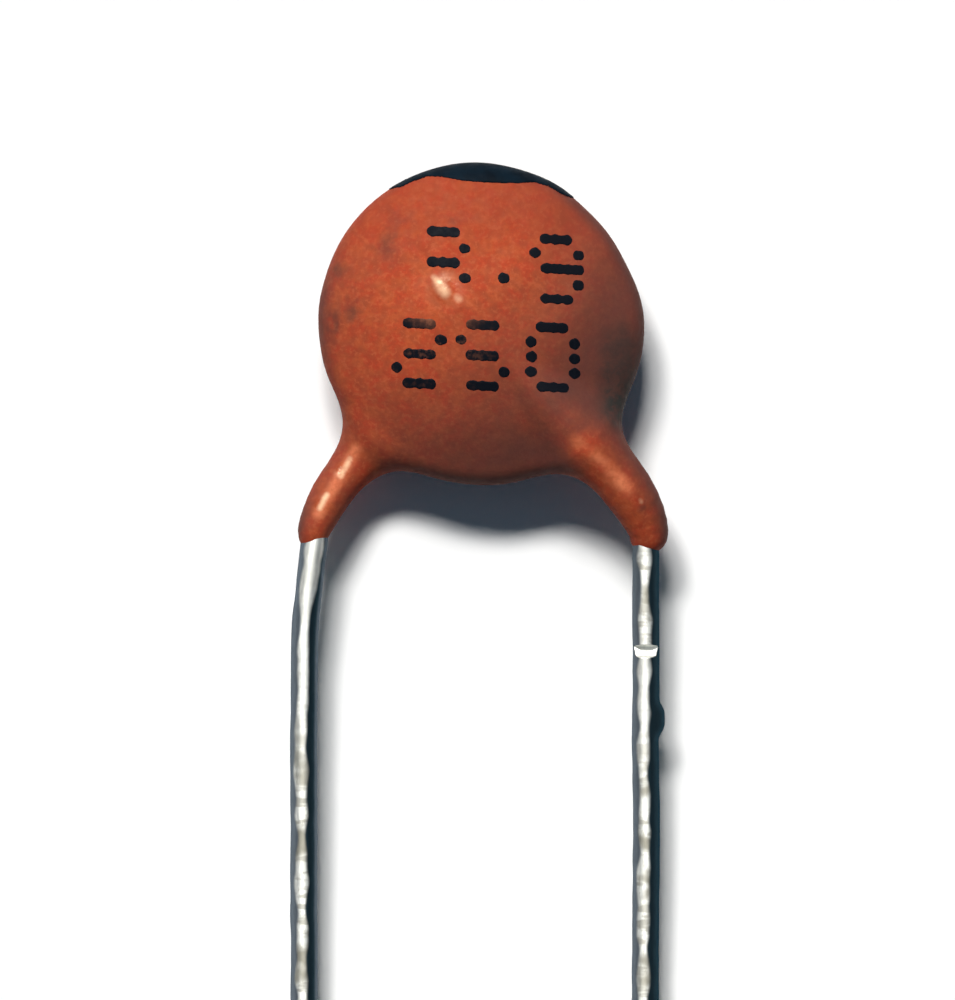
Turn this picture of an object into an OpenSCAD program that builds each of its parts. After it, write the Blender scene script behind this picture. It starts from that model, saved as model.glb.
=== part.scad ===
// Ceramic disc capacitor with crossed wire leads, dipped in a phenolic coat.
// It lies on its back: +Z is up, the front of the disc faces up and the leads run towards -Y.
// The origin is on the table, under the middle of the part's length and midway between the leads.

/* [Leads] */
// Diameter of the tinned wire
lead_d = 0.5; // [0.4:0.05:0.6]
// Distance between the two legs, axis to axis
lead_pitch = 6.35; // [5:0.05:7.7]
// Length of each leg below the end of the front lead's coat
lead_len = 18; // [4:0.5:35]
// Bend radius at the knees, where the wires turn towards the disc
knee_bend_r = 1.2; // [0.8:0.1:1.4]
// Bend radius where a wire comes off its slope and lies flat on the disc
seat_bend_r = 0.6; // [0.4:0.1:0.8]
// How far past the middle of the disc a wire's soldered end reaches sideways
cross_over = 0.7; // [0.5:0.05:1]
// How far above the middle of the disc a wire's soldered end reaches
cross_up = 0.62; // [0.4:0.05:1]
// How far the front lead's knee lies below the disc's edge
front_knee_drop = 0.46; // [0.3:0.02:0.8]
// How far the rear lead's knee lies below the disc's edge
rear_knee_drop = 0.3; // [0.3:0.02:0.8]
// Sideways spread of the rear leg between its knee and its straight part
rear_splay = 0.28; // [0.1:0.02:0.4]
// How far below the disc's edge the rear leg has spread
rear_splay_drop = 2.86; // [2.4:0.02:5]
// Bend radius of that spread
splay_bend_r = 8; // [4:0.5:10]

/* [Ceramic element] */
// Diameter of the ceramic disc
ceramic_d = 5.2; // [4.4:0.1:7]
// Thickness of the ceramic disc
ceramic_t = 0.8; // [0.6:0.05:1.4]
// Width of bare ceramic around each electrode
electrode_margin = 0.3; // [0.2:0.05:0.5]
// Thickness of the silvered electrodes
electrode_t = 0.03; // [0.02:0.005:0.05]
// Width of the solder that holds a wire
solder_w = 1.2; // [0.9:0.05:1.5]
// Height of the solder above its electrode
solder_h = 0.38; // [0.3:0.02:0.45]
// Thickness of the solder under a wire
solder_film = 0.02; // [0.01:0.005:0.05]
// Length of solder past a wire's end
solder_lap = 0.15; // [0.1:0.01:0.3]

/* [Coat] */
// Thickness of the coat outside the ceramic's edge
edge_cover = 0.4; // [0.3:0.05:0.8]
// Thickness of the coat over the wires in the middle of the disc
face_cover = 0.15; // [0.1:0.05:0.5]
// Thickness of the coat over the wires where they run towards the disc's edge
ridge_cover = 0.08; // [0.06:0.01:0.2]
// Radius of the coated disc's rim
rim_r = 0.5; // [0.46:0.02:0.7]
// Distance from the middle of the disc to the sideways middle of the legs
disc_offset = 0.14; // [0:0.02:0.3]
// Softness of the web between the disc and its ears, which are the coated starts of the legs
web = 1; // [0.6:0.05:1.2]
// Softness of the ridge over a wire in the middle of the disc
ridge_web = 0.12; // [0.06:0.02:0.3]
// Thickness of the front ear's coat at the disc, after the knee, before the knee and at its end
front_ear_cover = [0.2, 0.25, 0.17, 0.03]; // [0.03:0.005:0.3]
// Thickness of the rear ear's coat at the same places
rear_ear_cover = [0.12, 0.155, 0.09, 0.02]; // [0.02:0.005:0.3]
// How far the front ear's end lies below the disc's edge
front_ear_drop = 1.16; // [1.1:0.02:2]
// How far the rear ear's end lies below the disc's edge
rear_ear_drop = 1.04; // [1:0.02:2]

/* [Painted tip] */
// Thickness of the black paint
paint_t = 0.04; // [0.02:0.01:0.1]
// Height of the painted tip at its middle
paint_h = 0.38; // [0.3:0.02:0.8]
// Radius of the paint's lower edge, which droops to both sides
paint_edge_r = 5; // [4:0.5:10]

/* [Hidden] */
$fn = 48;

lead_r = lead_d / 2;
ceramic_r = ceramic_d / 2;
electrode_r = ceramic_r - electrode_margin;
electrode_z = ceramic_t / 2;
solder_z = electrode_z + electrode_t;
wire_z = solder_z + solder_film + lead_r;
body_r = ceramic_r + edge_cover;
body_h = wire_z + lead_r + face_cover;

// The part is drawn around the middle of its disc and then laid on the table.
legs_bottom = -(body_r + front_ear_drop + lead_len);
lay_down = [disc_offset, -(body_r + legs_bottom) / 2, body_h];

function unit(v) = v / norm(v);
function clamp(v) = min(max(v, 0), 1);
function flat(p) = [p.x, p.y];
function last(list, back = 0) = list[len(list) - 1 - back];

// ---- The leads ----

// Where the line from a to b first comes within r of the middle of the disc, seen from above.
function seat_point(a, b, r) =
    let (u = unit(flat(b - a)), along = -flat(a) * u)
    flat(a) + u * (along - sqrt(along * along - (flat(a) * flat(a) - r * r)));

// The corners of a lead, from the cut end of its leg to its soldered end. The wire comes down to
// its face of the disc just outside the ceramic's edge.
// side is 1 for the front lead, on the right, and -1 for the rear lead, on the left.
seat_margin = 0.15;
function lead_corners(side, knee_drop, splay, splay_drop) =
    let (
        leg_x = side * lead_pitch / 2 - disc_offset,
        tip = [leg_x, legs_bottom, lead_r - body_h],
        knee = [leg_x - side * splay, -body_r - knee_drop, 0],
        end = [-side * cross_over, cross_up, side * wire_z],
        seat = seat_point(knee, end, ceramic_r + seat_margin),
        splay_y = -body_r - splay_drop
    )
    concat(
        [tip],
        splay == 0 ? [] : [[leg_x, splay_y, tip.z * (knee.y - splay_y) / (knee.y - tip.y)]],
        [knee, [seat.x, seat.y, side * wire_z], end]
    );

front_corners = lead_corners(1, front_knee_drop, 0, 0);
rear_corners = lead_corners(-1, rear_knee_drop, rear_splay, rear_splay_drop);

// How far before and after a corner its bend begins and ends.
function bend_reach(a, b, c, r) =
    let (turn = acos(unit(b - a) * unit(c - b)))
    r * tan(turn / 2);

// A wire through its corners. bends has the bend radius of each inner corner.
module bent_wire(corners, bends, r) {
    n = len(corners);
    reach = [
        for (i = [0:n - 1])
            i == 0 || i == n - 1 ? 0 : bend_reach(corners[i - 1], corners[i], corners[i + 1], bends[i - 1])
    ];
    for (i = [0:n - 2]) {
        u = unit(corners[i + 1] - corners[i]);
        straight(corners[i] + u * reach[i], corners[i + 1] - u * reach[i + 1], r);
    }
    for (i = [1:n - 2])
        elbow(corners[i - 1], corners[i], corners[i + 1], reach[i], bends[i - 1], r);
}

module straight(a, b, r) {
    u = unit(b - a);
    side = unit(cross([0, 0, 1], u));
    in_frame(side, cross(u, side), u, a)
    cylinder(r = r, h = norm(b - a));
}

// An elbow is a hair thinner than the straights and laps a little into them, so they join soundly.
elbow_lap = 0.03;
elbow_hair = 0.002;
module elbow(a, b, c, reach, bend_r, r) {
    u = unit(b - a);
    w = unit(c - b);
    inward = unit(w - u * (u * w));
    lap = asin(elbow_lap / bend_r);
    in_frame(-inward, u, cross(u, inward), b - u * reach + inward * bend_r)
    rotate(-lap)
    rotate_extrude(angle = acos(u * w) + 2 * lap)
    translate([bend_r, 0])
    circle(r - elbow_hair);
}

// Places its children in the frame with these axes and this origin.
module in_frame(x, y, z, origin) {
    multmatrix([
        [x.x, y.x, z.x, origin.x],
        [x.y, y.y, z.y, origin.y],
        [x.z, y.z, z.z, origin.z]
    ])
    children();
}

module front_wire() {
    bent_wire(front_corners, [knee_bend_r, seat_bend_r], lead_r);
}

module rear_wire() {
    bent_wire(rear_corners, [splay_bend_r, knee_bend_r, seat_bend_r], lead_r);
}

module front_lead() {
    color("silver")
    translate(lay_down)
    front_wire();
}

module rear_lead() {
    color("silver")
    translate(lay_down)
    rear_wire();
}

// ---- The ceramic element ----

module ceramic_disc() {
    color("tan")
    translate(lay_down)
    translate([0, 0, -electrode_z])
    cylinder(r = ceramic_r, h = ceramic_t);
}

module electrode() {
    translate([0, 0, electrode_z])
    cylinder(r = electrode_r, h = electrode_t);
}

module front_electrode() {
    color("gainsboro")
    translate(lay_down)
    electrode();
}

module rear_electrode() {
    color("gainsboro")
    translate(lay_down)
    mirror([0, 0, 1])
    electrode();
}

// A solder bead on the front electrode along a wire: an arched ridge with round ends.
module solder_bead(corners) {
    end = flat(last(corners));
    back = unit(flat(last(corners, 1)) - end);
    round_r = solder_w / 2;
    arch_r = (round_r * round_r + solder_h * solder_h) / (2 * solder_h);
    from = end + back * (round_r - solder_lap);
    to = seat_point([end.x + back.x * body_r, end.y + back.y * body_r], end, electrode_r - round_r);
    translate([from.x, from.y, solder_z])
    rotate(atan2(back.y, back.x)) {
        rotate([90, 0, 90])
        linear_extrude(norm(to - from))
        arch(arch_r, round_r, -round_r);
        rotate(90)
        rotate_extrude(angle = 180)
        arch(arch_r, round_r, 0);
        translate([norm(to - from), 0])
        rotate(-90)
        rotate_extrude(angle = 180)
        arch(arch_r, round_r, 0);
    }
}

// The part of a round bead's cross-section above the electrode, from x = from to x = half_w.
module arch(arch_r, half_w, from) {
    intersection() {
        translate([0, solder_h - arch_r])
        circle(arch_r);
        translate([from, 0])
        square([half_w - from, solder_h]);
    }
}

module front_bead() {
    difference() {
        solder_bead(front_corners);
        front_wire();
    }
}

module rear_bead() {
    difference() {
        mirror([0, 0, 1])
        solder_bead(rear_corners);
        rear_wire();
    }
}

module front_solder() {
    color("darkgray")
    translate(lay_down)
    front_bead();
}

module rear_solder() {
    color("darkgray")
    translate(lay_down)
    rear_bead();
}

// ---- The coat's shape, as a distance that is negative inside it ----

// Distance from the coated disc, a lens with a round rim.
bulge = (pow(body_r - rim_r, 2) - pow(body_h - rim_r, 2)) / (2 * (body_h - rim_r));
function disc_gap(p) =
    let (r = norm(flat(p)), z = abs(p.z))
    r * bulge < (body_r - rim_r) * (z + bulge)
        ? norm([r, z + bulge]) - bulge - body_h
        : norm([r - body_r + rim_r, z]) - rim_r;

// Distance from a rod that runs from a to b while its radius goes from ra to rb.
function rod_gap(p, a, b, ra, rb) =
    let (h = clamp((p - a) * (b - a) / ((b - a) * (b - a))))
    norm(p - a - h * (b - a)) - ra - (rb - ra) * h;

// The smaller of two distances, rounded where they are nearly equal.
function melt(d1, d2, k) =
    let (h = clamp(0.5 + 0.5 * (d2 - d1) / k))
    d2 * (1 - h) + d1 * h - k * h * (1 - h);

// Stops along the smooth curve that a route's corners pull: [place, radius] each.
curve_steps = 4;
function rounded_route(corners) = [
    corners[0],
    for (i = [1:len(corners) - 2], j = [0:curve_steps - 1])
        let (
            t = j / curve_steps,
            from = (corners[i - 1] + corners[i]) / 2,
            to = (corners[i] + corners[i + 1]) / 2
        )
        from * (1 - t) * (1 - t) + corners[i] * 2 * t * (1 - t) + to * t * t,
    last(corners)
];

// An ear's route, from its end to the wire's soldered end. Its corners are the ear's end, both
// ends of its knee, the place where it leaves the disc, the start of the ridge that the wire
// raises on the disc, and the soldered end.
root_sink = 0.8;
ridge_start = 0.35;
function ear_route(corners, cover, ear_drop) =
    let (
        leg = last(corners, 3),
        knee = last(corners, 2),
        seat = last(corners, 1),
        end = last(corners),
        down = unit(leg - knee),
        in = unit(seat - knee),
        reach = bend_reach(leg, knee, seat, knee_bend_r)
    )
    rounded_route([
        [knee + down * (body_r + ear_drop + knee.y) / -down.y, lead_r + cover[3]],
        [knee + down * reach, lead_r + cover[2]],
        [knee + in * reach, lead_r + cover[1]],
        [[seat.x, seat.y, seat.z * root_sink], lead_r + cover[0]],
        [seat + (end - seat) * ridge_start, lead_r + ridge_cover],
        [end, lead_r + ridge_cover]
    ]);

front_route = ear_route(front_corners, front_ear_cover, front_ear_drop);
rear_route = ear_route(rear_corners, rear_ear_cover, rear_ear_drop);

// Distance from the coat around one wire.
function ear_gap(p, route) = min([
    for (i = [0:len(route) - 2])
        rod_gap(p, route[i][0], route[i + 1][0], route[i][1], route[i + 1][1])
]);

// Distance from the whole coat. The web is softest outside the disc and fades towards its middle.
web_start = 0.8;
function coat_gap(p) =
    let (
        out = clamp((norm(flat(p)) - web_start) / (body_r - web_start)),
        k = ridge_web + (web - ridge_web) * out * out
    )
    melt(melt(disc_gap(p), ear_gap(p, front_route), k), ear_gap(p, rear_route), k);

// The point where a ray from the middle of the disc along v is gap outside the coat, by halving.
function surface_point(v, gap = 0, lo = 0.2, hi = 2, step = 13) =
    let (mid = (lo + hi) / 2)
    step == 0 ? v * mid
    : coat_gap(v * mid) < gap ? surface_point(v, gap, mid, hi, step - 1)
    : surface_point(v, gap, lo, mid, step - 1);

// The point of the coat's surface nearest to p, by following the distance downhill.
slope_step = 0.005;
function settled(p, step = 3) =
    step == 0 ? p
    : let (
        gap = coat_gap(p),
        slope = [
            coat_gap(p + [slope_step, 0, 0]) - gap,
            coat_gap(p + [0, slope_step, 0]) - gap,
            coat_gap(p + [0, 0, slope_step]) - gap
        ] / slope_step
    )
    settled(p - slope * gap / (slope * slope), step - 1);

// ---- The coat's skin ----

// The disc's skin is a grid of rays from its middle. Columns go round it, rows from rear to front.
// Where an ear leaves the disc the grid has a window, and the ear's rings grow out of its rim.
rows = 20;
column_step = 5.5;
window_columns = 7;
window_rows = [8, 15];
window_angle = 19;

// The centres of an ear's rings, from just outside the disc to the ear's end: [place, radius].
ring_step = 0.15;
first_ring_r = body_r + 0.35;
function ring_centres(route) =
    let (
        outside = [for (i = [len(route) - 1:-1:0]) if (norm(flat(route[i][0])) > first_ring_r) route[i]],
        inner = last(route, len(route) - 1 - len(outside)),
        outer = outside[0],
        t = (first_ring_r - norm(flat(inner[0]))) / (norm(flat(outer[0])) - norm(flat(inner[0]))),
        stops = concat([inner + (outer - inner) * t], outside)
    )
    [
        for (i = [0:len(stops) - 2])
            let (a = stops[i], b = stops[i + 1], n = ceil(norm(b[0] - a[0]) / ring_step))
            for (j = [0:n - 1]) a + (b - a) * j / n,
        route[0]
    ];
front_centres = ring_centres(front_route);
rear_centres = ring_centres(rear_route);

function angle_of(p) = (atan2(p.y, p.x) + 360) % 360;
function spread(from, to, n) = [for (i = [0:n - 1]) from + (to - from) * i / n];
function arc_columns(from, to) = ceil((to - from) / column_step);

front_angle = angle_of(front_centres[0][0]) - 360;
rear_angle = angle_of(rear_centres[0][0]);
arcs = [[front_angle + window_angle, rear_angle - window_angle],
        [rear_angle + window_angle, front_angle + 360 - window_angle]];
columns = concat(
    spread(front_angle - window_angle, arcs[0][0], window_columns),
    spread(arcs[0][0], arcs[0][1], arc_columns(arcs[0][0], arcs[0][1])),
    spread(arcs[0][1], arcs[1][0], window_columns),
    spread(arcs[1][0], arcs[1][1], arc_columns(arcs[1][0], arcs[1][1]))
);
rear_column = window_columns + arc_columns(arcs[0][0], arcs[0][1]);

function grid_point(column, row, gap = 0) =
    let (a = columns[column], tilt = 180 * row / rows - 90)
    surface_point([cos(a) * cos(tilt) * body_r, sin(a) * cos(tilt) * body_r, sin(tilt) * body_h], gap);

// The grid places round a window, counter-clockwise seen from outside: [column, row].
function window_rim(column, bottom, top) = concat(
    [for (i = [0:window_columns - 1]) [column + i, bottom]],
    [for (row = [bottom:top - 1]) [column + window_columns, row]],
    [for (i = [window_columns:-1:1]) [column + i, top]],
    [for (row = [top:-1:bottom + 1]) [column, row]]
);
front_rim = window_rim(0, window_rows[0], window_rows[1]);
rear_rim = window_rim(rear_column, rows - window_rows[1], rows - window_rows[0]);

function in_window(column, row) =
    (column < window_columns && row >= window_rows[0] && row < window_rows[1])
    || (column >= rear_column && column < rear_column + window_columns
        && row >= rows - window_rows[1] && row < rows - window_rows[0]);

// Rings of an ear as lists of points. Each ring has as many points as the window's rim. The first
// ones lead over from the rim to an even ring, and the last ones close the ear's round end.
joining_rings = 5;
end_tilts = [0, 30, 60];
function ear_rings(centres, rim) =
    let (
        n = len(centres),
        count = len(rim),
        ahead = [for (i = [0:n - 1]) unit(centres[min(i + 2, n - 1)][0] - centres[max(i - 2, 0)][0])],
        aside = [for (a = ahead) unit([-a.y, a.x, 0])],
        above = [for (i = [0:n - 1]) cross(ahead[i], aside[i])],
        rim_points = [for (place = rim) grid_point(place[0], place[1])],
        turns = [
            for (point = rim_points)
                let (v = point - centres[0][0])
                atan2(v * above[0], v * aside[0])
        ],
        start = turns[0] - 180 * (count - 1) / count
            + [for (turn = turns) (turn - turns[0] + 720) % 360] * [for (turn = turns) 1 / count],
        even_rings = [
            for (i = [0:n - 1], tilt = i < n - 1 ? [0] : end_tilts)
                [
                    for (m = [0:count - 1])
                        let (
                            turn = start + 360 * m / count,
                            outward = aside[i] * cos(turn) + above[i] * sin(turn)
                        )
                        settled(centres[i][0] + (outward * cos(tilt) + ahead[i] * sin(tilt)) * centres[i][1])
                ]
        ]
    )
    concat(
        [
            for (j = [1:joining_rings])
                [
                    for (m = [0:count - 1])
                        let (t = j / (joining_rings + 1))
                        settled(rim_points[m] * (1 - t) + even_rings[0][m] * t)
                ]
        ],
        even_rings
    );
function ear_tip(centres) =
    let (end = last(centres))
    settled(end[0] + unit(end[0] - last(centres, 1)[0]) * end[1]);

// Two faces between four point numbers, split along the diagonal b-d unless a-c is clearly shorter.
diagonal_bias = 0.9;
function quad(points, a, b, c, d) =
    norm(points[a] - points[c]) < diagonal_bias * norm(points[b] - points[d])
        ? [[a, b, c], [a, c, d]]
        : [[a, b, d], [d, b, c]];

// Faces between two loops of point numbers, and from a loop to a single point.
function band(points, a, b) = [
    for (i = [0:len(a) - 1])
        let (j = (i + 1) % len(a))
        each quad(points, a[i], b[i], b[j], a[j])
];
function cone(a, p) = [for (i = [0:len(a) - 1]) [a[i], p, a[(i + 1) % len(a)]]];

module dipped_shape() {
    n = len(columns);
    ring = rows - 1;
    grid = [for (column = [0:n - 1], row = [1:ring]) grid_point(column, row)];
    poles = [for (up = [-1, 1]) surface_point([0, 0, up * body_h])];
    ears = [ear_rings(front_centres, front_rim), ear_rings(rear_centres, rear_rim)];
    tips = [ear_tip(front_centres), ear_tip(rear_centres)];
    points = concat(grid, poles, [for (ear = ears, loop = ear) each loop], tips);

    function at(column, row) = (column % n) * ring + row - 1;
    count = len(front_rim);
    ear_starts = [n * ring + 2, n * ring + 2 + len(ears[0]) * count];
    tips_start = ear_starts[1] + len(ears[1]) * count;
    function ring_places(ear, i) = [for (m = [0:count - 1]) ear_starts[ear] + i * count + m];
    function rim_places(rim) = [for (place = rim) at(place[0], place[1])];

    disc_faces = [
        for (column = [0:n - 1], row = [1:ring - 1])
            if (!in_window(column, row))
                each quad(
                    points, at(column, row), at(column, row + 1), at(column + 1, row + 1), at(column + 1, row)
                )
    ];
    pole_faces = [
        for (column = [0:n - 1])
            each [
                [at(column, 1), at(column + 1, 1), n * ring],
                [at(column, ring), n * ring + 1, at(column + 1, ring)]
            ]
    ];
    ear_faces = [
        for (ear = [0, 1])
            let (rim = ear == 0 ? front_rim : rear_rim, rings = len(ears[ear]))
            each concat(
                band(points, rim_places(rim), ring_places(ear, 0)),
                [for (i = [0:rings - 2]) each band(points, ring_places(ear, i), ring_places(ear, i + 1))],
                cone(ring_places(ear, rings - 1), tips_start + ear)
            )
    ];
    polyhedron(points, concat(disc_faces, pole_faces, ear_faces));
}

module coating() {
    color("sienna")
    translate(lay_down)
    difference() {
        dipped_shape();
        translate([0, 0, -electrode_z])
        cylinder(r = ceramic_r, h = ceramic_t);
        electrode();
        mirror([0, 0, 1])
        electrode();
        solder_bead(front_corners);
        mirror([0, 0, 1])
        solder_bead(rear_corners);
        front_wire();
        rear_wire();
    }
}

// ---- The painted tip ----

// A patch of the coat's grid, thickened outwards by the paint and cut along the paint's lower edge.
tip_half_angle = 58;
tip_rows = [4, rows - 4];
tip_columns = [for (i = [0:len(columns) - 1]) if (abs(columns[i] - 90) < tip_half_angle) i];

module paint_patch() {
    n = len(tip_columns);
    m = tip_rows[1] - tip_rows[0] + 1;
    function at(layer, i, j) = (layer * n + i) * m + j;
    points = [
        for (gap = [0, paint_t], column = tip_columns, row = [tip_rows[0]:tip_rows[1]])
            grid_point(column, row, gap)
    ];
    skins = [
        for (i = [0:n - 2], j = [0:m - 2])
            each concat(
                quad(points, at(1, i, j), at(1, i, j + 1), at(1, i + 1, j + 1), at(1, i + 1, j)),
                [for (face = quad(points, at(0, i, j), at(0, i, j + 1), at(0, i + 1, j + 1), at(0, i + 1, j)))
                    [face[0], face[2], face[1]]]
            )
    ];
    ends = [
        for (j = [0:m - 2])
            each concat(
                quad(points, at(0, 0, j), at(0, 0, j + 1), at(1, 0, j + 1), at(1, 0, j)),
                quad(points, at(1, n - 1, j), at(1, n - 1, j + 1), at(0, n - 1, j + 1), at(0, n - 1, j))
            )
    ];
    sides = [
        for (i = [0:n - 2])
            each concat(
                quad(points, at(1, i, 0), at(1, i + 1, 0), at(0, i + 1, 0), at(0, i, 0)),
                quad(points, at(0, i, m - 1), at(0, i + 1, m - 1), at(1, i + 1, m - 1), at(1, i, m - 1))
            )
    ];
    polyhedron(points, concat(skins, ends, sides));
}

module black_tip() {
    color("darkslategray")
    translate(lay_down)
    difference() {
        paint_patch();
        translate([0, body_r - paint_h - paint_edge_r, -2 * body_h])
        cylinder(r = paint_edge_r, h = 4 * body_h);
    }
}

coating();
black_tip();
ceramic_disc();
front_electrode();
rear_electrode();
front_solder();
rear_solder();
front_lead();
rear_lead();
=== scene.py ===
"""Looks of the ceramic disc capacitor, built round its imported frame.

Shapes are worked out in millimetres round the middle of the disc, as in the part's own source, and
placed in the row frame, in metres, when they become meshes.
"""

import math
import re

import bpy
import numpy as np
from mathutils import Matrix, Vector


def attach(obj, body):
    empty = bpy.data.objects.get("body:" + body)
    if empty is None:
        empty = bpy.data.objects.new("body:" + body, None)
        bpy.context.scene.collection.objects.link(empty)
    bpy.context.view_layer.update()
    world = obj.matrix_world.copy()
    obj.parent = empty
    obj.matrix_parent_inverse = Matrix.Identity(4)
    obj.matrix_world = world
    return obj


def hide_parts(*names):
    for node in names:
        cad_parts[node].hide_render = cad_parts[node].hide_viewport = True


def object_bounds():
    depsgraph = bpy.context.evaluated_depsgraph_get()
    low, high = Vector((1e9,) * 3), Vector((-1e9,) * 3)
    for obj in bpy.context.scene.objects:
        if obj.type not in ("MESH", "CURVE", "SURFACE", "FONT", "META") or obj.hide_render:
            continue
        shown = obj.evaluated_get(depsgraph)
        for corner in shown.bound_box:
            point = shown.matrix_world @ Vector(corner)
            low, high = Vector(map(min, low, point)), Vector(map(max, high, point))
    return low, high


MM = 0.001
ROOT = "root"
WHITE = (1.0, 1.0, 1.0, 1.0)
# Directions over the part: to the right, towards the painted tip, and out of its front.
TO_RIGHT = (1, 0, 0)
TO_TIP = (0, 1, 0)
TO_FRONT = (0, 0, 1)

# ---- Sizes repeated from the part's source, in millimetres ----

LEAD_R = 0.25
LEAD_PITCH = 6.35
LEAD_LENGTH = 18.0
KNEE_BEND_R = 1.2
SEAT_BEND_R = 0.6
SPLAY_BEND_R = 8.0
WIRE_END = (0.7, 0.62)
FRONT_KNEE_DROP = 0.46
REAR_KNEE_DROP = 0.3
REAR_SPLAY = 0.28
REAR_SPLAY_DROP = 2.86
FRONT_EAR_DROP = 1.16
WIRE_Z = 0.70
SEAT_R = 2.75
BODY_R = 3.0
BODY_H = 1.1
RIM_R = 0.5
DISC_OFFSET = 0.14
RIDGE_COVER = 0.08
WEB = 1.0
RIDGE_WEB = 0.12
WEB_START = 0.8
ROOT_SINK = 0.8
RIDGE_START = 0.35
CURVE_STEPS = 4
LEGS_BOTTOM = -(BODY_R + FRONT_EAR_DROP + LEAD_LENGTH)
LAY_DOWN = np.array([DISC_OFFSET, -(BODY_R + LEGS_BOTTOM) / 2, BODY_H])

# ---- The skins of the two ears, a little shorter and more uneven than in the part's source ----

# Cover over the wire at the disc's edge, above the knee, below the knee and at the lower end.
FRONT_COVER = (0.2, 0.25, 0.1, 0.04)
REAR_COVER = (0.12, 0.155, 0.07, 0.02)
# How far the skin lies to the right of its wire above the knee, below it and at the lower end.
FRONT_SAG = (0.05, 0.11, -0.01)
REAR_SAG = (0.0, -0.02, -0.04)
FRONT_EAR_END_Y = -3.97
REAR_EAR_END_Y = -3.95

# ---- The photograph's frame: pixels of a 955 x 1000 picture, and millimetres on the part ----

PX_PER_MM = 53.9
DISC_PX = (482.3, 322.5)
PHOTO_SIZE = (955, 1000)


def from_px(x, y):
    """A place in the picture as (x, y) round the middle of the disc."""
    return (x - DISC_PX[0]) / PX_PER_MM, (DISC_PX[1] - y) / PX_PER_MM


# ---- Distances ----


def unit(v):
    v = np.asarray(v, float)
    return v / np.linalg.norm(v)


def smooth(low, high, x):
    t = np.clip((x - low) / (high - low), 0, 1)
    return t * t * (3 - 2 * t)


def melt(d1, d2, k):
    """The smaller of two distances, rounded where they are nearly equal."""
    h = np.clip(0.5 + 0.5 * (d2 - d1) / k, 0, 1)
    return d2 * (1 - h) + d1 * h - k * h * (1 - h)


# The dipped outline isn't a true circle: places where it lies further in, or out where the depth is
# below nought. Angle in degrees from the right, spread in degrees, depth.
OUTLINE_R = BODY_R + 0.02
FLATS = (
    (43.0, 28.0, 0.15),
    (84.0, 30.0, 0.07),
    (21.0, 15.0, 0.045),
    (180.0, 40.0, -0.02),
)


def outline_r(p):
    """Radius of the disc's outline in the direction of each point."""
    angle = np.degrees(np.arctan2(p[:, 1], p[:, 0]))
    radius = np.full(len(p), OUTLINE_R)
    for middle, spread, depth in FLATS:
        away = np.abs((angle - middle + 180) % 360 - 180)
        radius -= depth * np.exp(-((away / spread) ** 2))
    return radius


def disc_gap(p):
    """Distance from the lens of the disc with its round rim."""
    bulge = ((BODY_R - RIM_R) ** 2 - (BODY_H - RIM_R) ** 2) / (2 * (BODY_H - RIM_R))
    r = np.hypot(p[:, 0], p[:, 1]) * BODY_R / outline_r(p)
    z = np.abs(p[:, 2])
    lens = np.hypot(r, z + bulge) - bulge - BODY_H
    rim = np.hypot(r - BODY_R + RIM_R, z) - RIM_R
    return np.where(r * bulge < (BODY_R - RIM_R) * (z + bulge), lens, rim)


def rod_gap(p, a, b, ra, rb):
    """Distance from a rod between two points, whose radius goes from ra to rb."""
    d = b - a
    h = np.clip((p - a) @ d / (d @ d), 0, 1)
    return np.linalg.norm(p - a - h[:, None] * d, axis=1) - ra - (rb - ra) * h


def bend_reach(a, b, c, r):
    """How far from its corner b a round bend of radius r starts."""
    turn = math.acos(np.clip(unit(b - a) @ unit(c - b), -1, 1))
    return r * math.tan(turn / 2)


def seat_point(a, b, r):
    """Where the line from a to b, seen from above, first meets the circle of radius r."""
    a2, b2 = a[:2], b[:2]
    u = unit(b2 - a2)
    along = -a2 @ u
    return a2 + u * (along - math.sqrt(along * along - (a2 @ a2 - r * r)))


def lead_corners(side, knee_drop, splay):
    """Corners of a wire from its cut end to its soldered end. The side is 1 at the right."""
    leg_x = side * LEAD_PITCH / 2 - DISC_OFFSET
    knee_y = -BODY_R - knee_drop
    tip = np.array([leg_x, LEGS_BOTTOM, LEAD_R - BODY_H])
    knee = np.array([leg_x - side * splay, knee_y, 0.0])
    end = np.array([-side * WIRE_END[0], WIRE_END[1], side * WIRE_Z])
    seat = np.array([*seat_point(knee, end, SEAT_R), side * WIRE_Z])
    corners = [tip]
    if splay:
        splay_y = -BODY_R - REAR_SPLAY_DROP
        rise = tip[2] * (knee_y - splay_y) / (knee_y - LEGS_BOTTOM)
        corners.append(np.array([leg_x, splay_y, rise]))
    return corners + [knee, seat, end]


FRONT_CORNERS = lead_corners(1, FRONT_KNEE_DROP, 0)
REAR_CORNERS = lead_corners(-1, REAR_KNEE_DROP, REAR_SPLAY)


def rounded_route(corners):
    """Stops along the curve that runs through the middles between the corners."""
    stops = [corners[0]]
    for before, at, after in zip(corners, corners[1:], corners[2:]):
        start, end = (before + at) / 2, (at + after) / 2
        for j in range(CURVE_STEPS):
            t = j / CURVE_STEPS
            stops.append(start * (1 - t) ** 2 + at * 2 * t * (1 - t) + end * t * t)
    return stops + [corners[-1]]


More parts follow.
